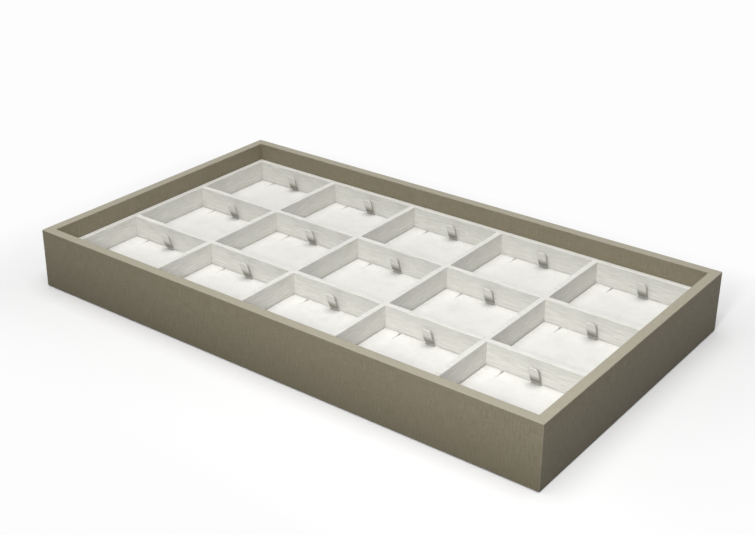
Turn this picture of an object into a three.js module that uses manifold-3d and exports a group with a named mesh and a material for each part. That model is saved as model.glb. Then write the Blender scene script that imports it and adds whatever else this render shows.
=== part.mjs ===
// Pendant display tray: a wrapped frame round an insert of compartments, each with a lift-out pad and a hook tab.
// Millimetres. X runs along the long side, Y from front to rear, Z up from the floor below the tray's centre.

import * as THREE from 'three';
import { mergeVertices } from 'three/addons/utils/BufferGeometryUtils.js';
import Module from 'manifold-3d';

// Frame: four mitred rails under one strip of leatherette
const frameLength = 350;
const frameWidth = 200;
const frameHeight = 37.5;
const railThickness = 6;
const wrapThickness = 0.5;
const turnUnderWidth = 4;
const mitreGlueLine = 0.3;

// Base: board between the rails, paper lining, and a sheet glued over the underside and the wrap's turned edge
const undersideSheetThickness = 0.5;
const undersideSheetSetback = 3;
const baseBoardThickness = 2.5;
const liningThickness = 0.4;

// Insert: wrapped boards that divide the tray into compartments
const columns = 5;
const rowNames = ['front', 'middle', 'rear'];
const rimDepth = 11.7;
const insertClearance = 0.2;
const wallThickness = 3.5;
const lapClearance = 0.15;

// Ledges: one die-cut ladder a row, with sloping sides
const ledgeHeight = 4.3;
const ledgeShelf = 2.4;
const ledgeFoot = 3.9;

// Pads: fabric-wrapped padded cards
const padThickness = 4.6;
const padCrown = 0.5;
const padClearance = 0.3;
const padEdgeRadius = 0.6;
const slotWidth = 1.2;
const slotLength = 8;
const slotSpacing = 40.6;

// Hook tabs: card tongues on the pads' rear edges, upright in the pad, then leaning forward in a curve
const tabWidth = 6;
const tabThickness = 0.8;
const tabRise = 11.3;
const tabReach = 5.2;
const tabCurlDegrees = 24;
const tabCornerRadius = 2.2;
const tabClearance = 0.3;
const tabRecessDepth = 1.4;

// How far every cutting shape runs past the faces that it cuts
const cutOverrun = 1;

// Heights above the floor
const frameBottom = undersideSheetThickness;
const rimTop = frameBottom + frameHeight;
const baseTop = frameBottom + baseBoardThickness;
const liningTop = baseTop + liningThickness;
const ledgeTop = liningTop + ledgeHeight;
const padBottom = ledgeTop + padClearance;
const insertTop = rimTop - rimDepth;
const lapLevel = (ledgeTop + insertTop) / 2;

// Plan sizes of the opening inside the rails, of the insert and of one compartment
const openingLength = frameLength - 2 * railThickness;
const openingWidth = frameWidth - 2 * railThickness;
const insertLength = openingLength - 2 * insertClearance;
const insertWidth = openingWidth - 2 * insertClearance;
const columnPitch = (insertLength - wallThickness) / columns;
const rowPitch = (insertWidth - wallThickness) / rowNames.length;
const cellLength = columnPitch - wallThickness;
const cellDepth = rowPitch - wallThickness;
const padLength = cellLength - 2 * padClearance;
const padDepth = cellDepth - 2 * padClearance;

const wasm = await Module();
wasm.setup();

const tray = new THREE.Group();

// A closed geometry as a solid that can be joined and cut
function solid(geometry) {
  const bare = geometry.index ? geometry.toNonIndexed() : geometry.clone();
  bare.deleteAttribute('normal');
  bare.deleteAttribute('uv');
  const welded = mergeVertices(bare);
  return new wasm.Manifold(new wasm.Mesh({
    numProp: 3,
    vertProperties: new Float32Array(welded.attributes.position.array),
    triVerts: new Uint32Array(welded.index.array),
  }));
}

// A solid as a geometry with flat-shaded faces
function geometryOf(shape) {
  const mesh = shape.getMesh();
  const indexed = new THREE.BufferGeometry();
  indexed.setAttribute('position', new THREE.BufferAttribute(new Float32Array(mesh.vertProperties), 3));
  indexed.setIndex(new THREE.BufferAttribute(new Uint32Array(mesh.triVerts), 1));
  const flat = indexed.toNonIndexed();
  flat.computeVertexNormals();
  return flat;
}

// A board centred on the Z axis, with its underside at the given height
function board(length, depth, thickness, bottom) {
  return new THREE.BoxGeometry(length, depth, thickness).translate(0, 0, bottom + thickness / 2);
}

function addPiece(parent, name, geometry, color, roughness, position = [0, 0, 0], turn = 0) {
  const material = new THREE.MeshStandardMaterial({ color, roughness, metalness: 0 });
  const mesh = new THREE.Mesh(geometry, material);
  mesh.name = name;
  mesh.position.set(...position);
  mesh.rotation.z = turn;
  parent.add(mesh);
}

// Frame rail: a mitred board inside the wrap, drawn in plan for the front side and turned for the other sides.
// length and across are the frame's outer sizes along and across the rail.
function railGeometry(length, across) {
  const outerEdge = wrapThickness - across / 2;
  const innerEdge = railThickness - wrapThickness - across / 2;
  const glueSetback = mitreGlueLine / Math.SQRT2;
  const outerHalf = length / 2 - wrapThickness - glueSetback;
  const innerHalf = length / 2 - railThickness + wrapThickness - glueSetback;
  const plan = new THREE.Shape([
    new THREE.Vector2(-outerHalf, outerEdge),
    new THREE.Vector2(outerHalf, outerEdge),
    new THREE.Vector2(innerHalf, innerEdge),
    new THREE.Vector2(-innerHalf, innerEdge),
  ]);
  const height = frameHeight - 2 * wrapThickness;
  const rail = new THREE.ExtrudeGeometry(plan, { depth: height, bevelEnabled: false });
  return rail.translate(0, 0, frameBottom + wrapThickness);
}

const boardBrown = '#a98a62';
const longRail = railGeometry(frameLength, frameWidth);
const shortRail = railGeometry(frameWidth, frameLength);
addPiece(tray, 'frame_rail_front', longRail, boardBrown, 0.9);
addPiece(tray, 'frame_rail_rear', longRail, boardBrown, 0.9, [0, 0, 0], Math.PI);
addPiece(tray, 'frame_rail_right', shortRail, boardBrown, 0.9, [0, 0, 0], Math.PI / 2);
addPiece(tray, 'frame_rail_left', shortRail, boardBrown, 0.9, [0, 0, 0], -Math.PI / 2);

// Frame wrap: leatherette down the outside, over the rim, down the inside and turned under the outer edge,
// with a mouth along the underside where the bare board shows
function wrapGeometry() {
  const wallBottom = frameBottom - cutOverrun;
  const ringCut = (length, width, bottom, height) => solid(board(length, width, height, bottom));
  const opening = ringCut(openingLength, openingWidth, wallBottom, frameHeight + 2 * cutOverrun);
  const innerLeg = ringCut(
    openingLength + 2 * wrapThickness,
    openingWidth + 2 * wrapThickness,
    wallBottom,
    frameHeight + 2 * cutOverrun,
  );
  const channel = ringCut(
    frameLength - 2 * wrapThickness,
    frameWidth - 2 * wrapThickness,
    frameBottom + wrapThickness,
    frameHeight - 2 * wrapThickness,
  ).subtract(innerLeg);
  const mouth = ringCut(
    frameLength - 2 * turnUnderWidth,
    frameWidth - 2 * turnUnderWidth,
    wallBottom,
    cutOverrun + 2 * wrapThickness,
  ).subtract(innerLeg);
  const block = solid(board(frameLength, frameWidth, frameHeight, frameBottom));
  return geometryOf(block.subtract(opening).subtract(channel).subtract(mouth));
}

addPiece(tray, 'frame_wrap', wrapGeometry(), '#8b8471', 0.75);

// Base board, underside sheet and lining: flat boards one above the other
addPiece(tray, 'base_board', board(openingLength, openingWidth, baseBoardThickness, frameBottom), boardBrown, 0.9);
const sheetLength = frameLength - 2 * undersideSheetSetback;
const sheetWidth = frameWidth - 2 * undersideSheetSetback;
const undersideSheet = board(sheetLength, sheetWidth, undersideSheetThickness, 0);
addPiece(tray, 'underside_sheet', undersideSheet, '#57534a', 0.95);
addPiece(tray, 'base_lining', board(openingLength, openingWidth, liningThickness, baseTop), '#e7e5dd', 0.9);

// Insert walls: the front and rear ones run the full length, the side ones stand between them
const wrappedBoard = '#d8d6cc';
const wallHeight = insertTop - liningTop;
const innerInsertLength = insertLength - 2 * wallThickness;
const innerInsertWidth = insertWidth - 2 * wallThickness;
const longWall = board(insertLength, wallThickness, wallHeight, liningTop);
const sideWall = board(wallThickness, innerInsertWidth, wallHeight, liningTop);
const longWallPlace = (insertWidth - wallThickness) / 2;
const sideWallPlace = (insertLength - wallThickness) / 2;
addPiece(tray, 'insert_wall_front', longWall, wrappedBoard, 0.85, [0, -longWallPlace, 0]);
addPiece(tray, 'insert_wall_rear', longWall, wrappedBoard, 0.85, [0, longWallPlace, 0]);
addPiece(tray, 'insert_wall_left', sideWall, wrappedBoard, 0.85, [-sideWallPlace, 0, 0]);
addPiece(tray, 'insert_wall_right', sideWall, wrappedBoard, 0.85, [sideWallPlace, 0, 0]);

// A divider drawn upright: a long board with half-lap notches, cut from its top or from its bottom edge.
// places are the notches' middles along the board.
function dividerGeometry(length, bottom, places, notchedFromTop) {
  const half = length / 2;
  const notchHalf = wallThickness / 2 + lapClearance;
  const notchedEdge = notchedFromTop ? insertTop : bottom;
  const plainEdge = notchedFromTop ? bottom : insertTop;
  const outline = new THREE.Shape();
  outline.moveTo(-half, plainEdge);
  outline.lineTo(-half, notchedEdge);
  for (const place of places) {
    outline.lineTo(place - notchHalf, notchedEdge);
    outline.lineTo(place - notchHalf, lapLevel);
    outline.lineTo(place + notchHalf, lapLevel);
    outline.lineTo(place + notchHalf, notchedEdge);
  }
  outline.lineTo(half, notchedEdge);
  outline.lineTo(half, plainEdge);
  const divider = new THREE.ExtrudeGeometry(outline, { depth: wallThickness, bevelEnabled: false });
  return divider.translate(0, 0, -wallThickness / 2).rotateX(Math.PI / 2);
}

// The places of the dividers between a count of compartments, along one direction
function dividerPlaces(count, pitch) {
  const places = [];
  for (let k = 1; k < count; k += 1) {
    places.push((k - count / 2) * pitch);
  }
  return places;
}

const columnPlaces = dividerPlaces(columns, columnPitch);
const rowPlaces = dividerPlaces(rowNames.length, rowPitch);
const rowDivider = dividerGeometry(innerInsertLength, liningTop, columnPlaces, true);
rowPlaces.forEach((place, k) => {
  addPiece(tray, `row_divider_${k + 1}`, rowDivider, wrappedBoard, 0.85, [0, place, 0]);
});
const columnDivider = dividerGeometry(innerInsertWidth, ledgeTop, rowPlaces, false);
columnPlaces.forEach((place, k) => {
  addPiece(tray, `column_divider_${k + 1}`, columnDivider, wrappedBoard, 0.85, [place, 0, 0], Math.PI / 2);
});

// The middle of a compartment, from its column and row counted from the front left
function cellCentre(column, row) {
  return [
    (column - (columns - 1) / 2) * columnPitch,
    (row - (rowNames.length - 1) / 2) * rowPitch,
  ];
}

// A ledge window: open from the shelf's edge at the top to the wider foot at the bottom, run past both faces
function ledgeWindow() {
  const slope = (ledgeFoot - ledgeShelf) / ledgeHeight;
  const topInset = ledgeShelf - slope * cutOverrun;
  const bottomInset = ledgeFoot + slope * cutOverrun;
  const window = new THREE.BoxGeometry(1, 1, 1);
  const position = window.attributes.position;
  for (let i = 0; i < position.count; i += 1) {
    const isTop = position.getZ(i) > 0;
    const inset = isTop ? topInset : bottomInset;
    position.setXYZ(
      i,
      position.getX(i) * (cellLength - 2 * inset),
      position.getY(i) * (cellDepth - 2 * inset),
      isTop ? ledgeTop + cutOverrun : liningTop - cutOverrun,
    );
  }
  return solid(window);
}

// Pad ledge: one ladder under a row of pads
function ledgeGeometry() {
  let ladder = solid(board(innerInsertLength, cellDepth, ledgeHeight, liningTop));
  const window = ledgeWindow();
  for (let column = 0; column < columns; column += 1) {
    ladder = ladder.subtract(window.translate([cellCentre(column, 0)[0], 0, 0]));
  }
  return geometryOf(ladder);
}

const ledge = ledgeGeometry();
rowNames.forEach((rowName, row) => {
  addPiece(tray, `pad_ledge_${rowName}`, ledge, '#cdc9be', 0.9, [0, cellCentre(0, row)[1], 0]);
});

// The pad's cushion: a block whose grid lines sit at the middle, half way out, at the start of the rounded edge
// and at the edge, with a crown over the top
function cushionSolid() {
  const gridSteps = 3;
  const halfWayShare = 0.5;
  const roundShare = 1 - Math.SQRT1_2;
  const block = new THREE.BoxGeometry(1, 1, 1, 2 * gridSteps, 2 * gridSteps, 2);
  const position = block.attributes.position;
  const across = (unit, size, inset) => {
    const half = size / 2;
    const step = Math.round(Math.abs(unit) * 2 * gridSteps);
    const reach = [0, half * halfWayShare, half - padEdgeRadius, half - inset][step];
    return Math.sign(unit) * reach;
  };
  for (let i = 0; i < position.count; i += 1) {
    const unit = new THREE.Vector3().fromBufferAttribute(position, i);
    const isTop = unit.z > 0;
    const onEdge = Math.max(Math.abs(unit.x), Math.abs(unit.y)) === 1 / 2;
    const rounding = isTop && onEdge ? padEdgeRadius * roundShare : 0;
    const x = across(unit.x, padLength, rounding);
    const y = across(unit.y, padDepth, rounding);
    const crown = padCrown * (1 - (2 * x / padLength) ** 2) * (1 - (2 * y / padDepth) ** 2);
    const heights = [0, padThickness - padEdgeRadius, padThickness - rounding + crown];
    position.setXYZ(i, x, y, heights[Math.round((unit.z + 1 / 2) * 2)]);
  }
  return solid(block);
}

// Pad: the cushion with two chain slots and a recess for the tab, all open at the rear edge
function padGeometry() {
  const cutHeight = padThickness + padCrown + 2 * cutOverrun;
  const rearCut = (width, length, x) => {
    const cut = board(width, length + cutOverrun, cutHeight, -cutOverrun);
    return solid(cut.translate(x, (padDepth - length + cutOverrun) / 2, 0));
  };
  const leftSlot = rearCut(slotWidth, slotLength, -slotSpacing / 2);
  const rightSlot = rearCut(slotWidth, slotLength, slotSpacing / 2);
  const recess = rearCut(tabWidth + 2 * tabClearance, tabRecessDepth, 0);
  return geometryOf(cushionSolid().subtract(leftSlot).subtract(rightSlot).subtract(recess));
}

// Hook tab: the curved side profile of the tongue, trimmed to its front outline with round top corners.
// Its rear face is at y = 0 and its foot at z = 0. Above the pad it bends round a centre behind it.
function tabGeometry() {
  const topHeight = padThickness + tabRise;
  const curl = THREE.MathUtils.degToRad(tabCurlDegrees);
  const rearRadius = Math.hypot(tabReach, tabRise) / (2 * Math.sin(curl / 2));
  const frontRadius = rearRadius + tabThickness;
  const lowLean = Math.atan2(tabReach, tabRise) + curl / 2;
  const highLean = lowLean - curl;
  const centreY = rearRadius * Math.cos(lowLean);
  const centreZ = padThickness + rearRadius * Math.sin(lowLean);
  const frontLean = Math.acos((centreY + tabThickness) / frontRadius);
  const profile = new THREE.Shape();
  profile.moveTo(0, 0);
  profile.lineTo(0, padThickness);
  profile.absarc(centreY, centreZ, rearRadius, Math.PI + lowLean, Math.PI + highLean, true);
  profile.absarc(centreY, centreZ, frontRadius, Math.PI + highLean, Math.PI + frontLean, false);
  profile.lineTo(-tabThickness, 0);
  const strip = new THREE.ExtrudeGeometry(profile, { depth: tabWidth, bevelEnabled: false, curveSegments: 6 });
  const sideways = new THREE.Matrix4().makeBasis(
    new THREE.Vector3(0, 1, 0),
    new THREE.Vector3(0, 0, 1),
    new THREE.Vector3(1, 0, 0),
  );
  strip.translate(0, 0, -tabWidth / 2).applyMatrix4(sideways);

  const half = tabWidth / 2;
  const front = new THREE.Shape();
  front.moveTo(-half - cutOverrun, -cutOverrun);
  front.lineTo(half + cutOverrun, -cutOverrun);
  front.lineTo(half + cutOverrun, padThickness);
  front.lineTo(half, padThickness);
  front.lineTo(half, topHeight - tabCornerRadius);
  front.absarc(half - tabCornerRadius, topHeight - tabCornerRadius, tabCornerRadius, 0, Math.PI / 2);
  front.absarc(tabCornerRadius - half, topHeight - tabCornerRadius, tabCornerRadius, Math.PI / 2, Math.PI);
  front.lineTo(-half, padThickness);
  front.lineTo(-half - cutOverrun, padThickness);
  const trimDepth = tabReach + tabThickness + 2 * cutOverrun;
  const trim = new THREE.ExtrudeGeometry(front, { depth: trimDepth, bevelEnabled: false, curveSegments: 5 });
  trim.translate(0, 0, -cutOverrun).rotateX(Math.PI / 2);
  return geometryOf(solid(strip).intersect(solid(trim)));
}

// Each compartment's pad and tab, placed together
const pad = padGeometry();
const tab = tabGeometry();
rowNames.forEach((rowName, row) => {
  for (let column = 0; column < columns; column += 1) {
    const unit = new THREE.Group();
    unit.position.set(...cellCentre(column, row), padBottom);
    addPiece(unit, `pad_${rowName}_${column + 1}`, pad, '#ecebe5', 0.95);
    addPiece(unit, `hook_tab_${rowName}_${column + 1}`, tab, '#e1dfd7', 0.9, [0, padDepth / 2, 0]);
    tray.add(unit);
  }
});

export default tray;
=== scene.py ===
import bmesh
import bpy
import numpy as np
from mathutils import Matrix, Vector, noise


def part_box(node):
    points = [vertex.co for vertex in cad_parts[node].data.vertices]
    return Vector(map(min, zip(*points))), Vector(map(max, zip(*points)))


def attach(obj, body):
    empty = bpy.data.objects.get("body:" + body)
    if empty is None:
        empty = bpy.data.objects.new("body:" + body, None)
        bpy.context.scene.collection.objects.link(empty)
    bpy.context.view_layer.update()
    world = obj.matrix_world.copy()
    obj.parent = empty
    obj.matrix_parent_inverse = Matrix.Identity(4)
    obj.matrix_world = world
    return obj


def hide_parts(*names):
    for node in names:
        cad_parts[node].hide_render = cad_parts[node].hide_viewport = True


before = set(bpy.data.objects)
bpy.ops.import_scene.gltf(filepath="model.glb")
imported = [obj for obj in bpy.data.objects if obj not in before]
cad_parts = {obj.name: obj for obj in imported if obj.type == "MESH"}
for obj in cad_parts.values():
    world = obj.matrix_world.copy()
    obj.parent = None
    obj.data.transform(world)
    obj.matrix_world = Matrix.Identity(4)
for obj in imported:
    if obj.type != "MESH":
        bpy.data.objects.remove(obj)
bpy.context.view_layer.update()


# Frame rails and base board
# Four mitred rails of 5 mm fibreboard glued at the corners, with the base board let in between them.
# Brown board with darker flakes, hidden under the wrap, the lining and the underside sheet.
def tone(red, green, blue):
    """A colour chart's value, 0 to 255 a channel, as the linear colour that a shader takes."""
    chart = np.array([red, green, blue]) / 255
    linear = np.where(chart > 0.04045, ((chart + 0.055) / 1.055) ** 2.4, chart / 12.92)
    return (*linear.tolist(), 1.0)


def wire(tree, kind, *inputs, **settings):
    """One shader node. An input is a number, a colour or another node's output, in the order of the node's
    sockets, and None leaves a socket as it is."""
    made = tree.nodes.new(kind)
    for setting, value in settings.items():
        setattr(made, setting, value)
    for socket, given in zip(made.inputs, inputs):
        if isinstance(given, bpy.types.NodeSocket):
            tree.links.new(given, socket)
        elif given is not None:
            socket.default_value = given
    return made.outputs


def calculate(tree, operation, *numbers):
    """A sum of numbers that change over the surface."""
    return wire(tree, "ShaderNodeMath", *numbers, operation=operation)[0]


def stretch(tree, value, low, high, to_low=0.0, to_high=1.0):
    """The part of a value's range from low to high, spread over another range and held at its ends."""
    return wire(tree, "ShaderNodeMapRange", value, low, high, to_low, to_high)[0]


def mix_tones(tree, share, first, second):
    """Two colours mixed by a share from 0 to 1."""
    skipped = [None] * 5
    return wire(tree, "ShaderNodeMix", share, *skipped, first, second, data_type="RGBA")[2]


def tint(tree, under, mask, most, colour):
    """A colour laid over another where a mask shows it, at most as strongly as the share most."""
    return mix_tones(tree, calculate(tree, "MULTIPLY", mask, most), under, colour)


def uneven_tone(tree, place, patches_per_metre, detail, roughness):
    """Smooth noise round 0.5 that changes from place to place."""
    return wire(tree, "ShaderNodeTexNoise", place, None, patches_per_metre, detail, roughness)["Fac"]


def begin_effect(name, settings, results):
    """An empty node group for an effect that several finishes share, with its number inputs and outputs."""
    effect = bpy.data.node_groups.new(name, "ShaderNodeTree")
    for setting in settings:
        effect.interface.new_socket(setting, in_out="INPUT", socket_type="NodeSocketFloat")
    for result in results:
        effect.interface.new_socket(result, in_out="OUTPUT", socket_type="NodeSocketFloat")
    return effect, effect.nodes.new("NodeGroupInput").outputs, effect.nodes.new("NodeGroupOutput").inputs


def use_effect(tree, effect, **settings):
    """A shared effect placed in a finish, with that finish's own values."""
    made = tree.nodes.new("ShaderNodeGroup")
    made.node_tree = effect
    for setting, value in settings.items():
        made.inputs[setting].default_value = value
    return made.outputs


def begin_finish(name, roughness, specular):
    """A new finish, with its shader's plain values set."""
    finish = bpy.data.materials.new(name)
    finish.use_nodes = True
    shader = finish.node_tree.nodes["Principled BSDF"].inputs
    shader["Roughness"].default_value = roughness
    shader["Specular IOR Level"].default_value = specular
    return finish, finish.node_tree, shader


def raise_surface(tree, shader, height, depth):
    """Fine relief: a height from 0 to 1 that stands for a depth in metres."""
    full_strength = 1.0
    relief = wire(tree, "ShaderNodeBump", full_strength, depth, None, height)[0]
    tree.links.new(relief, shader["Normal"])


def dress(node_name, finish):
    """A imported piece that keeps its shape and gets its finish."""
    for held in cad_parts[node_name].material_slots:
        held.material = finish


def clouding_effect():
    """Soft light and dark patches, Patch metres across."""
    effect, given, result = begin_effect("clouding", ["Patch"], ["Cloud"])
    place = wire(effect, "ShaderNodeTexCoord")["Object"]
    patches = calculate(effect, "DIVIDE", 1.0, given["Patch"])
    cloud = uneven_tone(effect, place, patches, detail=3.0, roughness=0.55)
    effect.links.new(stretch(effect, cloud, low=0.3, high=0.7), result["Cloud"])
    return effect


def fibreboard_finish():
    """Raw fibreboard: small dark and pale flakes, with slow brown stains over them."""
    dark_flake, pale_flake, stained = tone(138, 108, 72), tone(190, 160, 118), tone(168, 138, 98)
    finish, tree, shader = begin_finish("fibreboard", roughness=0.9, specular=0.3)
    flakes = use_effect(tree, clouding, Patch=0.0007)["Cloud"]
    stains = use_effect(tree, clouding, Patch=0.012)["Cloud"]
    flaked = mix_tones(tree, flakes, dark_flake, pale_flake)
    tree.links.new(mix_tones(tree, stains, flaked, stained), shader["Base Color"])
    raise_surface(tree, shader, flakes, depth=0.00012)
    return finish


clouding = clouding_effect()
fibreboard = fibreboard_finish()
for side in ("front", "rear", "left", "right"):
    dress(f"frame_rail_{side}", fibreboard)
dress("base_board", fibreboard)


# Frame wrap
# One strip of taupe linen-grain leatherette glued round the rails: up the outside, over the rim, down the
# inside and turned under the outer edge. It rounds over every edge, and is mitred with a knife at the rim's
# corners.
def facing_of(tree, normal):
    """How squarely the surface faces X, Y and Z, each from 0 to 1."""
    unsigned = wire(tree, "ShaderNodeVectorMath", normal, operation="ABSOLUTE")[0]
    return wire(tree, "ShaderNodeSeparateXYZ", unsigned)


def flat_place(tree):
    """Where a point lies on its own face of a straight-sided piece: how far along the face, and how far up or
    across it."""
    squarely = 0.7
    coordinates = wire(tree, "ShaderNodeTexCoord")
    place = wire(tree, "ShaderNodeSeparateXYZ", coordinates["Object"])
    facing = facing_of(tree, coordinates["Normal"])
    on_side = calculate(tree, "GREATER_THAN", facing["X"], squarely)
    on_top = calculate(tree, "GREATER_THAN", facing["Z"], squarely)
    side_shift = calculate(tree, "SUBTRACT", place["Y"], place["X"])
    top_shift = calculate(tree, "SUBTRACT", place["Y"], place["Z"])
    along = calculate(tree, "MULTIPLY_ADD", on_side, side_shift, place["X"])
    up = calculate(tree, "MULTIPLY_ADD", on_top, top_shift, place["Z"])
    return along, up


def linen_effect():
    """Linen grain: long raised slubs along and across, Thread wide and Slub long in metres. Across is the
    share of the slubs that run across."""
    effect, given, result = begin_effect("linen_grain", ["Thread", "Slub", "Across"], ["Height", "Shade"])
    along, up = flat_place(effect)

    def slubs(lengthwise, widthwise, layer):
        """Threads of uneven thickness, all running one way. Each layer has slubs of its own."""
        long_place = calculate(effect, "DIVIDE", lengthwise, given["Slub"])
        wide_place = calculate(effect, "DIVIDE", widthwise, given["Thread"])
        spread = wire(effect, "ShaderNodeCombineXYZ", long_place, wide_place, layer)[0]
        return uneven_tone(effect, spread, 1.0, detail=2.0, roughness=0.6)

    level_threads = slubs(along, up, layer=0.0)
    upright_threads = calculate(effect, "MULTIPLY", slubs(up, along, layer=7.0), given["Across"])
    level_share = calculate(effect, "SUBTRACT", 1.0, given["Across"])
    woven = calculate(effect, "MULTIPLY_ADD", level_threads, level_share, upright_threads)
    relief = stretch(effect, woven, low=0.36, high=0.64)
    effect.links.new(relief, result["Height"])
    effect.links.new(relief, result["Shade"])
    return effect


def rubbing_effect():
    """Rubbed edges: 1 where the surface turns from one face to the next, and 0 on the flat."""
    flat, turning = 0.99, 0.8
    effect, _, result = begin_effect("rubbed_edge", [], ["Rub"])
    facing = facing_of(effect, wire(effect, "ShaderNodeTexCoord")["Normal"])
    level = calculate(effect, "MAXIMUM", facing["X"], facing["Y"])
    most = calculate(effect, "MAXIMUM", level, facing["Z"])
    effect.links.new(stretch(effect, most, flat, turning), result["Rub"])
    return effect


def height_of(tree):
    """How high a point of the surface lies above the floor with the tray at rest."""
    return wire(tree, "ShaderNodeSeparateXYZ", wire(tree, "ShaderNodeTexCoord")["Object"])["Z"]


linen = linen_effect()
rubbing = rubbing_effect()
wrap_low, wrap_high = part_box("frame_wrap")


def leatherette():
    """Linen-grain leatherette: slubs in two tones, with slow clouds and browner patches over them. It is
    paler at the rubbed edges, carries a painted highlight over the rim, and painted shade makes it darker
    towards the foot."""
    dark, pale, brown = tone(124, 117, 95), tone(152, 145, 124), tone(144, 131, 115)
    # The first tone serves both the rubbed edges and a painted highlight on the rim. The second is painted
    # shade at the foot.
    rim_highlight_and_wear, painted_foot_shade = tone(180, 175, 161), tone(103, 96, 78)
    middle = tuple(np.mean([dark, pale], axis=0))
    foot_shade_up_to, most_foot_shade = 0.03, 0.6
    rim_starts, rim_whole, most_rim_highlight = wrap_high.z - 0.0005, wrap_high.z - 0.0001, 0.46
    finish, tree, shader = begin_finish("frame_leatherette", roughness=0.62, specular=0.35)
    grain = use_effect(tree, linen, Thread=0.0006, Slub=0.007, Across=0.6)
    cloud = use_effect(tree, clouding, Patch=0.02)["Cloud"]
    speck = use_effect(tree, clouding, Patch=0.0009)["Cloud"]
    browner = use_effect(tree, clouding, Patch=0.045)["Cloud"]
    slubbed = mix_tones(tree, grain["Shade"], dark, pale)
    speckled = tint(tree, slubbed, speck, most=0.35, colour=dark)
    clouded = tint(tree, speckled, cloud, most=0.3, colour=middle)
    patched = tint(tree, clouded, browner, most=0.4, colour=brown)
    height = height_of(tree)
    # Painted shade: darker towards the foot, and gone 3 cm up.
    foot = stretch(tree, height, foot_shade_up_to, 0.0, 0.0, most_foot_shade)
    foot_shaded = mix_tones(tree, foot, patched, painted_foot_shade)
    edge = calculate(tree, "MULTIPLY", use_effect(tree, rubbing)["Rub"], 0.4)
    # Painted highlight over the rim, where the light from above falls on the top.
    rim = stretch(tree, height, rim_starts, rim_whole, 0.0, most_rim_highlight)
    # Rubbed edges and the painted rim highlight pale the tone together.
    paler = calculate(tree, "MAXIMUM", edge, rim)
    tree.links.new(mix_tones(tree, paler, foot_shaded, rim_highlight_and_wear), shader["Base Color"])
    sheen = stretch(tree, grain["Height"], 0.0, 1.0, to_low=0.72, to_high=0.56)
    tree.links.new(sheen, shader["Roughness"])
    raise_surface(tree, shader, grain["Height"], depth=0.00009)
    return finish


def add_piece(name, points, faces, finish, sharp_angle=0.6):
    """A piece from its points and faces, all facing out. It is smooth but for edges over an angle in
    radians."""
    mesh = bpy.data.meshes.new(name)
    mesh.from_pydata([tuple(point) for point in points], [], faces)
    shell = bmesh.new()
    shell.from_mesh(mesh)
    bmesh.ops.recalc_face_normals(shell, faces=shell.faces)
    shell.to_mesh(mesh)
    shell.free()
    mesh.shade_smooth()
    mesh.set_sharp_from_angle(angle=sharp_angle)
    mesh.materials.append(finish)
    piece = bpy.data.objects.new(name, mesh)
    bpy.context.scene.collection.objects.link(piece)
    even = piece.modifiers.new("even_faces", "WEIGHTED_NORMAL")
    even.keep_sharp = True
    return piece


def seat(piece, body, node_name):
    """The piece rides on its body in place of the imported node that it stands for."""
    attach(piece, body)
    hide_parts(node_name)


# Blender starts this noise from the clock unless it is given a seed, so it gets one, the same in every run
ripple_seed = 1
noise.seed_set(ripple_seed)


def uneven(points, depth, length):
    """Points moved by a slow, seamless ripple, as glued cloth lies on board."""
    return [Vector(point) + depth * noise.noise_vector(Vector(point) / length) for point in points]


def arc(centre, radius, start, end, steps=5):
    """Points on part of a circle, from one angle in degrees to another."""
    return [
        (centre[0] + radius * np.cos(angle), centre[1] + radius * np.sin(angle))
        for angle in np.radians(np.linspace(start, end, steps))
    ]


def between(start, end, steps):
    """The points that divide a line into equal steps, without its ends."""
    return [tuple(point) for point in np.linspace(start, end, steps + 1)[1:-1]]


def loft(rings, closed):
    """Faces between rings of equally many points, each closed on itself. closed also joins the last to the
    first, and otherwise a face closes each end."""
    count = len(rings[0])
    faces = []
    for k in range(len(rings) if closed else len(rings) - 1):
        this, following = k * count, (k + 1) % len(rings) * count
        for j in range(count):
            step = (j + 1) % count
            faces.append((this + j, this + step, following + step, following + j))
    if not closed:
        faces.append(tuple(range(count)))
        faces.append(tuple(range((len(rings) - 1) * count, len(rings) * count)))
    return faces


wrap_thickness = 0.0005
turn_under = 0.004
rim_width = wrap_high.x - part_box("base_board")[1].x
edge_radius = 0.0004
corner_radius = 0.0005
fold_radius = 0.00012
mitre_depth = 0.00015
wrap_ripple_depth = 0.00005
wrap_ripple_length = 0.03
upright_steps = 12
rim_steps = 4
corner_steps = 6
side_steps = {"short": 48, "long": 84}


def wrap_section():
    """The strip's cross-section, as insets from the outside and heights, once round from under the outer
    edge."""
    low, high = wrap_low.z, wrap_high.z
    outer, inner = edge_radius, rim_width - edge_radius
    return [
        (turn_under, low),
        *arc((outer, low + edge_radius), edge_radius, 270, 180),
        *between((0, low + edge_radius), (0, high - edge_radius), upright_steps),
        *arc((outer, high - edge_radius), edge_radius, 180, 90),
        *between((outer, high), (inner, high), rim_steps),
        *arc((inner, high - edge_radius), edge_radius, 90, 0),
        *between((rim_width, high - edge_radius), (rim_width, low), upright_steps),
        (rim_width, low),
        (rim_width - wrap_thickness, low),
        (rim_width - wrap_thickness, high - wrap_thickness),
        (wrap_thickness, high - wrap_thickness),
        (wrap_thickness, low + wrap_thickness),
        (turn_under, low + wrap_thickness),
    ]


# A corner's side of the middle along X and Y, the angle that its bend starts at, and the side that follows
frame_corners = (
    (1, -1, -90, "short"),
    (1, 1, 0, "long"),
    (-1, 1, 90, "short"),
    (-1, -1, 180, "long"),
)


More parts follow.
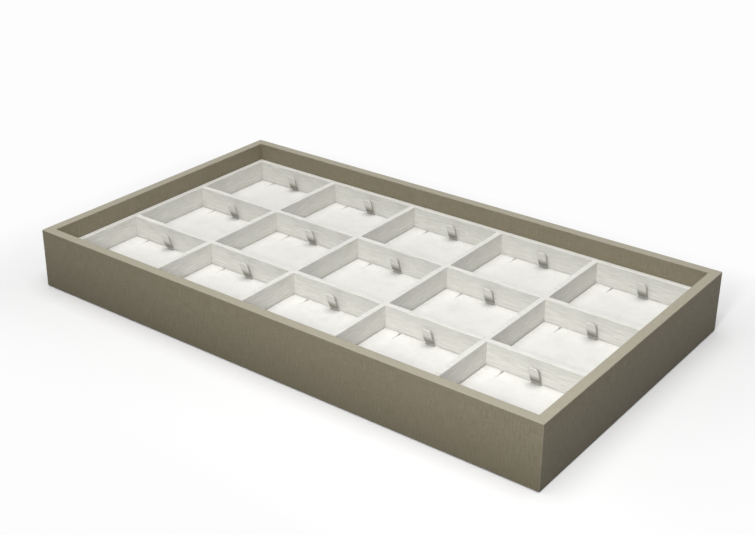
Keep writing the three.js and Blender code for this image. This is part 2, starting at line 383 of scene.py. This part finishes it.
def frame_ring(inset, height):
    """Points once round the frame at one inset and height. The rim dips along the cut at each corner."""
    radius = max(corner_radius - inset, fold_radius)
    dip = mitre_depth if height > wrap_high.z - edge_radius / 2 else 0
    middle_x, middle_y = (wrap_low.x + wrap_high.x) / 2, (wrap_low.y + wrap_high.y) / 2
    reach_x = (wrap_high.x - wrap_low.x) / 2 - inset - radius
    reach_y = (wrap_high.y - wrap_low.y) / 2 - inset - radius
    ring = []
    for right, rear, start, side in frame_corners:
        centre = (middle_x + right * reach_x, middle_y + rear * reach_y)
        corner = arc(centre, radius, start, start + 90, corner_steps + 1)
        ring += [(x, y, height - dip * (k == corner_steps // 2)) for k, (x, y) in enumerate(corner)]
        turn = -rear, right
        following = (middle_x + turn[0] * reach_x, middle_y + turn[1] * reach_y)
        end = arc(following, radius, start + 90, start + 90, 1)[0]
        ring += [(x, y, height) for x, y in between(corner[-1], end, side_steps[side])]
    return ring


wrap_rings = [frame_ring(inset, height) for inset, height in wrap_section()]
wrap_points = uneven([point for ring in wrap_rings for point in ring], wrap_ripple_depth, wrap_ripple_length)
frame_wrap = add_piece("frame_leatherette", wrap_points, loft(wrap_rings, closed=True), leatherette())
seat(frame_wrap, "tray", "frame_wrap")


# Underside sheet and base lining
# A sheet of dark flocked paper pasted over the base board and the wrap's turned edge, so that the tray slides
# without marking. Inside, off-white paper is pasted over the base board as the floor of the chain hollows.
def papered(name, dark, pale):
    """Matte pasted paper or card: short pale fibres and a faint cloudiness."""
    middle = tuple(np.mean([dark, pale], axis=0))
    finish, tree, shader = begin_finish(name, roughness=0.9, specular=0.25)
    fibre = use_effect(tree, clouding, Patch=0.0006)["Cloud"]
    cloud = use_effect(tree, clouding, Patch=0.009)["Cloud"]
    fibred = mix_tones(tree, fibre, dark, pale)
    tree.links.new(tint(tree, fibred, cloud, most=0.5, colour=middle), shader["Base Color"])
    raise_surface(tree, shader, fibre, depth=0.00003)
    return finish


dress("underside_sheet", papered("flocked_paper", tone(78, 74, 66), tone(98, 94, 85)))
dress("base_lining", papered("lining_paper", tone(218, 216, 208), tone(232, 230, 223)))


# Insert walls and dividers
# Boards wrapped in an off-white cover with a level linen streak, rounded over their top edges. The row
# dividers are notched from above and the column dividers from below, and the covers close over the half laps
# without a seam.
def insert_cover():
    """Off-white cover: level streaks of uneven length, with a few fine grey threads and a close weave between
    them, faint clouds and paler edges."""
    dark_streak, pale_streak = tone(207, 206, 199), tone(231, 230, 225)
    grey_thread, weft = tone(198, 197, 189), tone(219, 218, 211)
    clouds, rubbed = tone(225, 224, 218), tone(230, 229, 224)
    weave_share = 0.3
    finish, tree, shader = begin_finish("insert_cover", roughness=0.7, specular=0.3)
    streak = use_effect(tree, linen, Thread=0.0006, Slub=0.012, Across=0.15)
    fine_streak = use_effect(tree, linen, Thread=0.00035, Slub=0.008, Across=0.0)
    weave = use_effect(tree, linen, Thread=0.0003, Slub=0.002, Across=0.5)
    cloud = use_effect(tree, clouding, Patch=0.008)["Cloud"]
    streaked = mix_tones(tree, streak["Shade"], dark_streak, pale_streak)
    few_threads = stretch(tree, fine_streak["Shade"], low=0.5, high=0.95)
    threaded = tint(tree, streaked, few_threads, most=0.3, colour=grey_thread)
    woven = tint(tree, threaded, weave["Shade"], most=0.2, colour=weft)
    clouded = tint(tree, woven, cloud, most=0.2, colour=clouds)
    edged = tint(tree, clouded, use_effect(tree, rubbing)["Rub"], most=0.6, colour=rubbed)
    tree.links.new(edged, shader["Base Color"])
    relief = calculate(tree, "MULTIPLY_ADD", weave["Height"], weave_share, streak["Height"])
    raise_surface(tree, shader, relief, depth=0.00006)
    return finish


wrapped_cover = insert_cover()
board_edge_radius = 0.0003
board_upright_points = 5
board_turn_points = 5
board_ripple_depth = 0.00003
board_ripple_length = 0.02
station_step = 0.006
lap_slack = 0.00002
lap_run_past = 0.001


def board_section(thickness, low, high, share_low, share_high):
    """Half a board's cross-section on each side, its top edges rounded by a share from 0, square, to 1."""
    half, radius = thickness / 2, board_edge_radius
    bend_centre = np.array([half - radius, high - radius])
    least_slope = 1e-6
    sides = []
    for side, share in ((-1, share_low), (1, share_high)):
        upright = [(side * half, height) for height in np.linspace(low, high - radius, board_upright_points)]
        turn = []
        for angle in np.radians(np.linspace(0, 90, board_turn_points + 1)[1:]):
            slope = np.tan(angle)
            rounded = bend_centre + radius * np.array([np.cos(angle), np.sin(angle)])
            square = bend_centre + radius * np.array([min(1, 1 / max(slope, least_slope)), min(1, slope)])
            across, height = share * rounded + (1 - share) * square
            turn.append((side * across, height))
        sides.append(upright + turn)
    return sides[0] + sides[1][::-1]


def rounding_share(place, meets, thickness):
    """How far a top edge is rounded: not at all where another board meets it."""
    away = min((abs(place - meet) for meet in meets), default=thickness)
    return float(np.clip((away - thickness / 2 + board_edge_radius) / board_edge_radius, 0, 1))


def wrapped_board(node_name, meets_low, meets_high):
    """A wrapped board. meets_low and meets_high are the places along it where others meet its two sides."""
    low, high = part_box(node_name)
    runs_across = high.y - low.y > high.x - low.x
    start, end = (low.y, high.y) if runs_across else (low.x, high.x)
    thickness = (high.x - low.x) if runs_across else (high.y - low.y)
    middle = (low.x + high.x) / 2 if runs_across else (low.y + high.y) / 2
    places = set(np.linspace(start, end, int((end - start) / station_step) + 1))
    for meet in (*meets_low, *meets_high):
        for offset in (thickness / 2, thickness / 2 - board_edge_radius):
            places |= {meet - offset, meet + offset}
    rings = []
    for place in sorted(places):
        shares = (rounding_share(place, meets, thickness) for meets in (meets_low, meets_high))
        section = board_section(thickness, low.z, high.z, *shares)
        if runs_across:
            rings.append([(middle + across, place, height) for across, height in section])
        else:
            rings.append([(place, middle + across, height) for across, height in section])
    points = uneven([point for ring in rings for point in ring], board_ripple_depth, board_ripple_length)
    board = add_piece(f"{node_name}_cover", points, loft(rings, closed=False), wrapped_cover)
    seat(board, "tray", node_name)
    return board


def middle_of(node_name, axis):
    """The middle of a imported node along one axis, 0 for X and 1 for Y."""
    low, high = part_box(node_name)
    return (low[axis] + high[axis]) / 2


columns = 5
row_names = ("front", "middle", "rear")
column_dividers = [f"column_divider_{k}" for k in range(1, columns)]
row_dividers = [f"row_divider_{k}" for k in range(1, len(row_names))]
column_places = [middle_of(name, 0) for name in column_dividers]
row_places = [middle_of(name, 1) for name in row_dividers]
end_places = [middle_of("insert_wall_left", 0), middle_of("insert_wall_right", 0)]
wrapped_board("insert_wall_front", [], column_places + end_places)
wrapped_board("insert_wall_rear", column_places + end_places, [])
wrapped_board("insert_wall_left", [], row_places)
wrapped_board("insert_wall_right", row_places, [])

board_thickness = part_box("row_divider_1")[1].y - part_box("row_divider_1")[0].y
lap_low, lap_high = (corner.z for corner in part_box("column_divider_1"))
lap_level = (lap_low + lap_high) / 2


def notch(board, crossings, low, high):
    """Half-lap notches cut right through a board with a saw, between two heights."""
    along = board_thickness + 2 * lap_slack
    through = along + board_thickness
    size = (along, through, high - low) if board.name.startswith("row") else (through, along, high - low)
    cutter = bmesh.new()
    for x, y in crossings:
        placed = Matrix.Translation((x, y, (low + high) / 2)) @ Matrix.Diagonal((*size, 1))
        bmesh.ops.create_cube(cutter, size=1.0, matrix=placed)
    saw_mesh = bpy.data.meshes.new("saw")
    cutter.to_mesh(saw_mesh)
    cutter.free()
    saw = bpy.data.objects.new("saw", saw_mesh)
    bpy.context.scene.collection.objects.link(saw)
    cut = board.modifiers.new("notches", "BOOLEAN")
    cut.object = saw
    cut.operation = "DIFFERENCE"
    cut.solver = "EXACT"
    even = board.modifiers["even_faces"]
    even.show_viewport = False
    solid = bpy.data.meshes.new_from_object(board.evaluated_get(bpy.context.evaluated_depsgraph_get()))
    board.modifiers.remove(cut)
    even.show_viewport = True
    board.data = solid
    bpy.data.objects.remove(saw)


for name, y in zip(row_dividers, row_places):
    divider = wrapped_board(name, [], [])
    notch(divider, [(x, y) for x in column_places], lap_level, lap_high + lap_run_past)
for name, x in zip(column_dividers, column_places):
    divider = wrapped_board(name, row_places, row_places)
    notch(divider, [(x, y) for y in row_places], lap_low - lap_run_past, lap_level)


# Pad ledges
# One die-cut ladder of grey-white card a row, glued on the lining, with sloping sides that carry the pads'
# edges. They show through the chain slots and when a pad is lifted out.
ledge_card = papered("ledge_card", tone(196, 193, 184), tone(212, 209, 200))
for row_name in row_names:
    dress(f"pad_ledge_{row_name}", ledge_card)


# Pads
# A card with thin foam under near-white napped cloth, drawn down over the edges and glued below. Two chain
# slots and a shallow recess for the tab are cut at the rear edge, with the cloth turned into them. A slot
# stands open at the rear edge, and ahead of that its lips lie almost shut.
def nap_effect():
    """Brushed nap: tufts and fibres, Fibre metres across."""
    effect, given, result = begin_effect("nap", ["Fibre"], ["Height", "Shade"])
    place = wire(effect, "ShaderNodeTexCoord")["Object"]
    fibres = calculate(effect, "DIVIDE", 1.0, given["Fibre"])
    pile = uneven_tone(effect, place, fibres, detail=4.0, roughness=0.65)
    tufts = wire(effect, "ShaderNodeTexVoronoi", place, None, fibres)["Distance"]
    raised = calculate(effect, "ADD", pile, tufts)
    effect.links.new(stretch(effect, raised, low=0.5, high=1.3), result["Height"])
    effect.links.new(stretch(effect, pile, low=0.35, high=0.65), result["Shade"])
    return effect


def napped_cloth(name, roughness, dark, pale, smudge):
    """Brushed cloth: fine fibres, with faint smudges where the nap lies the other way. Its colour comes back
    too, for a piece that adds to it."""
    finish, tree, shader = begin_finish(name, roughness, specular=0.2)
    fibre = use_effect(tree, nap, Fibre=0.0005)
    lie = use_effect(tree, clouding, Patch=0.005)["Cloud"]
    drift = use_effect(tree, clouding, Patch=0.016)["Cloud"]
    fibred = mix_tones(tree, fibre["Shade"], dark, pale)
    smudged = calculate(tree, "MULTIPLY", lie, drift)
    cloth_tone = tint(tree, fibred, smudged, most=0.55, colour=smudge)
    tree.links.new(cloth_tone, shader["Base Color"])
    shader["Sheen Weight"].default_value = 0.15
    shader["Sheen Roughness"].default_value = 0.5
    raise_surface(tree, shader, fibre["Height"], depth=0.00005)
    return finish, cloth_tone


nap = nap_effect()
pad_cloth, _ = napped_cloth("pad_cloth", 0.9, tone(215, 214, 209), tone(230, 229, 225), tone(206, 205, 200))

pad_low, pad_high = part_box("pad_front_1")
pad_length = pad_high.x - pad_low.x
pad_depth = pad_high.y - pad_low.y
pad_crown = 0.0005
pad_thickness = pad_high.z - pad_low.z - pad_crown
pad_edge_radius = 0.0006
pad_corner_radius = 0.0012
cover_ease = 0.0001
cover_half_x = pad_length / 2 - cover_ease
cover_half_y = pad_depth / 2 - cover_ease
slot_width = 0.0009
slot_length = 0.008
slot_spacing = 0.0406
slot_mouth = 0.0014
slot_lips = 0.00014
slot_closes = 0.0046
slot_reach = 0.002
recess_ease = 0.0002
recess_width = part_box("hook_tab_front_1")[1].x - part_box("hook_tab_front_1")[0].x + recess_ease
recess_depth = 0.0011
slot_cuts = [(side * slot_spacing / 2, slot_width / 2, slot_length) for side in (-1, 1)]
recess_cut = (0.0, recess_width / 2, recess_depth)
pad_cuts = [slot_cuts[0], recess_cut, slot_cuts[1]]
edge_line_offsets = (0, 0.00015, 0.00035, 0.0006, 0.0012)
open_spacing = 0.0014
soft_sharp_angle = 1.2
# The rings of the cover's skirt from the top's rim down: a height on the pad, and how far it stands out
skirt = ((0.0026, 0.00004), (0.0014, 0.00004), (0.0004, 0.0), (0.0, -0.00035))


def draw_lips(x, y):
    """A point's place across the pad after the cloth has closed over a chain slot. The slot stays open at its
    mouth on the pad's rear edge, and its lips lie almost shut ahead of that."""
    behind = cover_half_y - y
    opening = slot_mouth + (slot_lips - slot_mouth) * min(max(behind / slot_closes, 0), 1)
    for middle, half, length in slot_cuts:
        away = abs(x - middle)
        if away < slot_reach and behind < length + edge_line_offsets[-1]:
            eased = opening / 2 + (max(away, half) - half) * (slot_reach - opening / 2) / (slot_reach - half)
            return middle + np.sign(x - middle) * min(away / half, 1) * eased
    return x


def grid_lines(edges):
    """Grid lines across a pad: close beside each edge, where the cloth rounds over, and evenly spaced
    between. An edge is its place, and 1 or -1 for the side of it that the pad lies on."""
    first, last = (place for place, _ in edges[:2])
    spare = 1e-7
    lines = {round(place + side * offset, 8) for place, side in edges for offset in edge_line_offsets}
    lines = sorted(line for line in lines if first - spare <= line <= last + spare)
    filled = lines[:1]
    for line in lines[1:]:
        steps = int(np.ceil((line - filled[-1]) / open_spacing))
        filled += list(np.linspace(filled[-1], line, steps + 1)[1:])
    return np.array(filled)


def is_cut(x, y):
    """Whether a place on the pad is cut away for a chain slot or for the tab."""
    return any(abs(x - middle) < half and y > cover_half_y - length for middle, half, length in pad_cuts)


def top_grid():
    """The pad's top before it is shaped: a flat grid without its cuts, as places and faces, and its rim in
    order."""
    x_edges = [(-cover_half_x, 1), (cover_half_x, -1)]
    y_edges = [(-cover_half_y, 1), (cover_half_y, -1)]
    for middle, half, length in pad_cuts:
        x_edges += [(middle - half, -1), (middle + half, 1)]
        y_edges.append((cover_half_y - length, -1))
    lines_x, lines_y = grid_lines(x_edges), grid_lines(y_edges)
    cells = [
        (i, j)
        for i in range(len(lines_x) - 1)
        for j in range(len(lines_y) - 1)
        if not is_cut((lines_x[i] + lines_x[i + 1]) / 2, (lines_y[j] + lines_y[j + 1]) / 2)
    ]
    index, places = {}, []
    for i, j in cells:
        for corner in ((i, j), (i + 1, j), (i + 1, j + 1), (i, j + 1)):
            if corner not in index:
                index[corner] = len(places)
                places.append((lines_x[corner[0]], lines_y[corner[1]]))
    faces = [(index[i, j], index[i + 1, j], index[i + 1, j + 1], index[i, j + 1]) for i, j in cells]
    sides = {(a, b) for face in faces for a, b in zip(face, face[1:] + face[:1])}
    following = {a: b for a, b in sides if (b, a) not in sides}
    rim = [index[0, 0]]
    while following[rim[-1]] != rim[0]:
        rim.append(following[rim[-1]])
    return places, faces, rim


def shaped_place(x, y):
    """A point of the top in its shape: dropped where the cloth rolls over an edge, drawn in at the pad's
    corners, and drawn together at a slot's lips."""
    gaps = [cover_half_x - abs(x), cover_half_y - abs(y)]
    for middle, half, length in pad_cuts:
        gaps.append(np.hypot(max(abs(x - middle) - half, 0), max(cover_half_y - length - y, 0)))
    inward = max(pad_edge_radius - max(min(gaps), 0), 0)
    drop = pad_edge_radius - np.sqrt(pad_edge_radius**2 - inward**2)
    corner = np.array([abs(x) - cover_half_x + pad_corner_radius, abs(y) - cover_half_y + pad_corner_radius])
    if corner.min() > 0:
        pull = corner * (corner.max() / np.hypot(*corner) - 1)
        x, y = x + np.sign(x) * pull[0], y + np.sign(y) * pull[1]
    return draw_lips(x, y), y, pad_thickness - drop


def pad_shell():
    """The pad's cloth as points and faces about the pad's middle, the ring under its skirt, and how many of
    the points are on its top."""
    places, faces, rim = top_grid()
    shaped = [shaped_place(x, y) for x, y in places]
    rim_places = np.array([shaped[k][:2] for k in rim])
    ahead = np.roll(rim_places, -1, axis=0) - rim_places
    ahead /= np.linalg.norm(ahead, axis=1)[:, None]
    outward = np.stack([ahead[:, 1], -ahead[:, 0]], axis=1)
    outward = outward + np.roll(outward, 1, axis=0)
    outward /= np.linalg.norm(outward, axis=1)[:, None]
    ring = rim
    for height, push in skirt:
        start = len(shaped)
        shaped += [(x, y, height) for x, y in rim_places + push * outward]
        lower = list(range(start, start + len(rim)))
        for k in range(len(rim)):
            step = (k + 1) % len(rim)
            faces.append((ring[k], lower[k], lower[step], ring[step]))
        ring = lower
    return np.array(shaped), faces, ring, len(places)


def blown_cover(points, faces, top_count):
    """How far each point of the cloth rises when it is pulled over the foam: a cloth simulation at ten times
    the size, held along the glued skirt and in the cuts, and blown up from inside. 1 is the highest rise."""
    enlarged = 10
    frames = 20
    held_margin = 1e-5
    held_cuts = [
        (middle, max(half, slot_mouth / 2) + held_margin, length + held_margin)
        for middle, half, length in pad_cuts
    ]
    mesh = bpy.data.meshes.new("cover_form")
    mesh.from_pydata((points * enlarged).tolist(), [], faces)
    form = bpy.data.objects.new("cover_form", mesh)
    bpy.context.scene.collection.objects.link(form)
    glued = form.vertex_groups.new(name="glued")
    held = list(range(top_count, len(points)))
    for k in range(top_count):
        x, y, _ = points[k]
        if any(abs(x - middle) < reach and y > cover_half_y - length for middle, reach, length in held_cuts):
            held.append(k)
    glued.add(held, 1.0, "REPLACE")
    cloth = form.modifiers.new("cloth", "CLOTH")
    cloth.settings.quality = 5
    cloth.settings.mass = 0.3
    cloth.settings.tension_stiffness = 12
    cloth.settings.compression_stiffness = 12
    cloth.settings.shear_stiffness = 6
    cloth.settings.bending_stiffness = 0.8
    cloth.settings.vertex_group_mass = "glued"
    cloth.settings.use_pressure = True
    cloth.settings.uniform_pressure_force = 4
    cloth.settings.effector_weights.gravity = 0
    for step in range(1, frames + 1):
        bpy.context.scene.frame_set(step)
    blown = form.evaluated_get(bpy.context.evaluated_depsgraph_get()).data
    rise = np.array([vertex.co.z for vertex in blown.vertices]) / enlarged - points[:, 2]
    bpy.data.objects.remove(form)
    bpy.context.scene.frame_set(1)
    return np.clip(rise / rise.max(), 0, 1)


cover_points, cover_faces, cover_hem, top_count = pad_shell()
cover_rise = blown_cover(cover_points, cover_faces, top_count)
foam_firmness = 0.6
cloth_ripple = 0.00008
cloth_ripple_length = 0.009

for row_name in row_names:
    for column in range(1, columns + 1):
        place_name = f"{row_name}_{column}"
        low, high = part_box(f"pad_{place_name}")
        middle = np.array([(low.x + high.x) / 2, (low.y + high.y) / 2, low.z])
        points = []
        for k, point in enumerate(cover_points):
            x, y, z = point + middle
            lift = cover_rise[k] ** foam_firmness if k < top_count else 0
            ripple = cloth_ripple * noise.noise(Vector((x, y, 0)) / cloth_ripple_length)
            points.append((x, y, z + lift * (pad_crown + ripple)))
        cloth_faces = cover_faces + [tuple(cover_hem)]
        pad = add_piece(f"pad_{place_name}_cloth", points, cloth_faces, pad_cloth, soft_sharp_angle)
        seat(pad, f"pad_unit_{place_name}", f"pad_{place_name}")


# Hook tabs
# A card tongue under the pads' cloth, glued into the recess in the pad's rear edge and curved forward above
# it, so that a chain hooks over its round-cornered end.
# Heights that bound the tab's band of painted shade, with the tab at rest: it fades in from the foot, is full
# between low and high, and fades out by the end.
bend_foot, bend_low, bend_high, bend_end = 0.0132, 0.0145, 0.0159, 0.0198


def tab_cloth_finish():
    """The pads' cloth with painted shade: a grey band round the tab's bend, lighter again towards its foot.
    The band is given by its heights with the tab at rest."""
    painted_bend_shade, foot_share = tone(138, 137, 128), 0.8
    cloth_tones = tone(212, 211, 205), tone(228, 227, 222), tone(204, 203, 197)
    finish, cloth_tone = napped_cloth("tab_cloth", 0.85, *cloth_tones)
    tree = finish.node_tree
    height = height_of(tree)
    above_bend = stretch(tree, height, bend_high, bend_end)
    below_bend = stretch(tree, height, bend_low, bend_foot, 0.0, foot_share)
    clear_of_bend = calculate(tree, "MAXIMUM", above_bend, below_bend)
    # Painted shade: the grey band round the bend.
    bend_shaded = mix_tones(tree, clear_of_bend, painted_bend_shade, cloth_tone)
    tree.links.new(bend_shaded, tree.nodes["Principled BSDF"].inputs["Base Color"])
    return finish


tab_cloth = tab_cloth_finish()
tab_thickness = 0.0008
tab_corner_radius = 0.0022
tab_ripple_depth = 0.00004
tab_ripple_length = 0.006
tab_curl = np.radians(24)
tab_steps = 30
tab_flat_steps = 6
tab_edge_points = 7
tab_low, tab_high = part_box("hook_tab_front_1")
tab_rise = tab_high.z - tab_low.z - pad_thickness
tab_reach = tab_high.y - tab_low.y - tab_thickness
tab_low_lean = np.arctan2(tab_reach, tab_rise) + tab_curl / 2
tab_bow = np.hypot(tab_reach, tab_rise) / (2 * np.sin(tab_curl / 2)) * tab_curl
tab_span = pad_thickness + tab_bow


def tab_outline(place):
    """Half the tab's width and half its thickness at a place along it."""
    half = (tab_high.x - tab_low.x) / 2
    past_corner = max(place - (tab_span - tab_corner_radius), 0)
    narrow = tab_corner_radius - np.sqrt(max(tab_corner_radius**2 - past_corner**2, 0))
    past_edge = max(place - (tab_span - tab_thickness / 2), 0)
    thin = np.sqrt(max((tab_thickness / 2) ** 2 - past_edge**2, (tab_thickness / 10) ** 2))
    return half - narrow, thin


def tab_ring(place, y, z, lean):
    """A flat oval round the tab, square to its run."""
    wide, thin = tab_outline(place)
    flat = wide - thin
    right = arc((flat, 0), thin, -90, 90, tab_edge_points)
    left = arc((-flat, 0), thin, 90, 270, tab_edge_points)
    front, rear = between(right[-1], left[0], tab_flat_steps), between(left[-1], right[0], tab_flat_steps)
    oval = right + front + left + rear
    return [(x, y + off * np.cos(lean), z + off * np.sin(lean)) for x, off in oval]


def tab_rings():
    """Rings along the tab: upright in the recess, then curving forward, with close rings round its end."""
    straight = np.linspace(0, tab_span - tab_corner_radius, tab_steps, endpoint=False)
    rounded = tab_span - tab_corner_radius * (1 - np.sin(np.linspace(0, np.pi / 2, tab_steps // 2)))
    y, z, last = -tab_thickness / 2, 0.0, 0.0
    rings = []
    for place in [*straight, *rounded]:
        risen = place - pad_thickness
        lean = tab_low_lean - tab_curl * risen / tab_bow if risen > 0 else 0.0
        y -= (place - last) * np.sin(lean)
        z += (place - last) * np.cos(lean)
        last = place
        rings.append(tab_ring(place, y, z, lean))
    return rings


rings = tab_rings()
tab_faces = loft(rings, closed=False)
for row_name in row_names:
    for column in range(1, columns + 1):
        place_name = f"{row_name}_{column}"
        low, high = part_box(f"hook_tab_{place_name}")
        foot = Vector(((low.x + high.x) / 2, high.y, low.z))
        placed = [Vector(point) + foot for ring in rings for point in ring]
        points = uneven(placed, tab_ripple_depth, tab_ripple_length)
        tab = add_piece(f"hook_tab_{place_name}_cloth", points, tab_faces, tab_cloth, soft_sharp_angle)
        seat(tab, f"pad_unit_{place_name}", f"hook_tab_{place_name}")


# Stage, light and camera
# A white floor that keeps the tray's soft shadow and turns plain white away from it, broad light from above,
# a weaker lamp at the front near the camera, and the photograph's camera. To bounced light the floor is dark
# beside the tray and grey further off, so that it doesn't wash out the sides.
floor_white = tone(253, 253, 253)
floor_paint = tone(231, 231, 231)
near_floor = tone(20, 20, 20)
far_floor = tone(110, 110, 110)
floor_size = 12.0
near_until, far_from = 0.005, 0.04
shadow_until, white_from = 0.02, 0.09
sky_strength = 0.11


def seen_plainly(tree):
    """1 for what the camera sees, also in a mirror or through glass, and 0 for light that bounces."""
    rays = wire(tree, "ShaderNodeLightPath")
    direct = calculate(tree, "MAXIMUM", rays["Is Camera Ray"], rays["Is Glossy Ray"])
    return calculate(tree, "MAXIMUM", direct, rays["Is Transmission Ray"])


def floor_finish():
    """Matte paint near the tray, so that its shadow shows, and a plain white glow further off."""
    finish = bpy.data.materials.new("floor")
    finish.use_nodes = True
    tree = finish.node_tree
    tree.nodes.clear()
    seen = seen_plainly(tree)
    place = wire(tree, "ShaderNodeSeparateXYZ", wire(tree, "ShaderNodeTexCoord")["Object"])
    outside = []
    for axis, edge in (("X", wrap_high.x), ("Y", wrap_high.y)):
        past_edge = calculate(tree, "SUBTRACT", calculate(tree, "ABSOLUTE", place[axis]), edge)
        outside.append(calculate(tree, "MAXIMUM", past_edge, 0.0))
    outward = wire(tree, "ShaderNodeCombineXYZ", *outside)[0]
    away = wire(tree, "ShaderNodeVectorMath", outward, operation="LENGTH")["Value"]
    bounce = mix_tones(tree, stretch(tree, away, near_until, far_from), near_floor, far_floor)
    paint = wire(tree, "ShaderNodeBsdfDiffuse", mix_tones(tree, seen, bounce, floor_paint))[0]
    glow = wire(tree, "ShaderNodeEmission", floor_white, 1.0)[0]
    fading = calculate(tree, "MULTIPLY", seen, stretch(tree, away, shadow_until, white_from))
    wire(tree, "ShaderNodeOutputMaterial", wire(tree, "ShaderNodeMixShader", fading, paint, glow)[0])
    return finish


def room_light():
    """A weak white sky, with the floor's white behind the tray for the camera."""
    room = bpy.data.worlds.new("room")
    room.use_nodes = True
    tree = room.node_tree
    tree.nodes.clear()
    sky = wire(tree, "ShaderNodeBackground", tone(255, 255, 255), sky_strength)[0]
    backdrop = wire(tree, "ShaderNodeBackground", floor_white, 1.0)[0]
    shown = wire(tree, "ShaderNodeMixShader", seen_plainly(tree), sky, backdrop)[0]
    wire(tree, "ShaderNodeOutputWorld", shown)
    return room


floor_mesh = bpy.data.meshes.new("floor")
reach = floor_size / 2
floor_corners = [(-reach, -reach, 0), (reach, -reach, 0), (reach, reach, 0), (-reach, reach, 0)]
floor_mesh.from_pydata(floor_corners, [], [(0, 1, 2, 3)])
floor_mesh.materials.append(floor_finish())
floor = bpy.data.objects.new("floor", floor_mesh)
bpy.context.scene.collection.objects.link(floor)
bpy.context.scene.world = room_light()


def hold_lamp(name, lamp, toward, place=(0, 0, 0)):
    """A lamp hung at a place, with its light coming from the direction toward."""
    held = bpy.data.objects.new(name, lamp)
    held.rotation_mode = "QUATERNION"
    held.rotation_quaternion = Vector(toward).to_track_quat("Z", "Y")
    held.location = place
    bpy.context.scene.collection.objects.link(held)


overhead_strength = 0.79
overhead_toward = (0.03, -0.08, 1.0)
overhead = bpy.data.lights.new("overhead_light", "SUN")
overhead.energy = overhead_strength * np.pi
overhead.angle = np.radians(60)
hold_lamp("overhead_light", overhead, overhead_toward)

key_strength = 0.44
key_place = Vector((0.26, -0.58, 0.37))
key = bpy.data.lights.new("key_light", "AREA")
key.shape = "DISK"
key.size = 0.12
key.energy = key_strength * np.pi**2 * key_place.length_squared
hold_lamp("key_light", key, key_place, key_place)

# The camera as it was fitted to the photograph. Its place is along its own right, up and back
photo_width = 755
photo_height = 535
sensor_width = 36.0
focal_pixels = 1283.42
axis_pixel = (349.0, 235.3)
camera_azimuth = 38.0
camera_elevation = 24.59
camera_place = (-0.012585, 0.043198, 0.770399)
azimuth, elevation = np.radians((camera_azimuth, camera_elevation))
right = Vector((np.cos(azimuth), np.sin(azimuth), 0))
back = Vector((np.sin(azimuth) * np.cos(elevation), -np.cos(azimuth) * np.cos(elevation), np.sin(elevation)))
up = back.cross(right)
camera_data = bpy.data.cameras.new("camera")
camera_data.sensor_width = sensor_width
camera_data.lens = focal_pixels * sensor_width / photo_width
camera_data.shift_x = (photo_width / 2 - axis_pixel[0]) / photo_width
camera_data.shift_y = (axis_pixel[1] - photo_height / 2) / photo_width
camera = bpy.data.objects.new("camera", camera_data)
turn = Matrix((right, up, back)).transposed()
camera.matrix_world = Matrix.Translation(turn @ Vector(camera_place)) @ turn.to_4x4()
bpy.context.scene.collection.objects.link(camera)
bpy.context.scene.camera = camera
bpy.context.scene.view_settings.view_transform = "Standard"
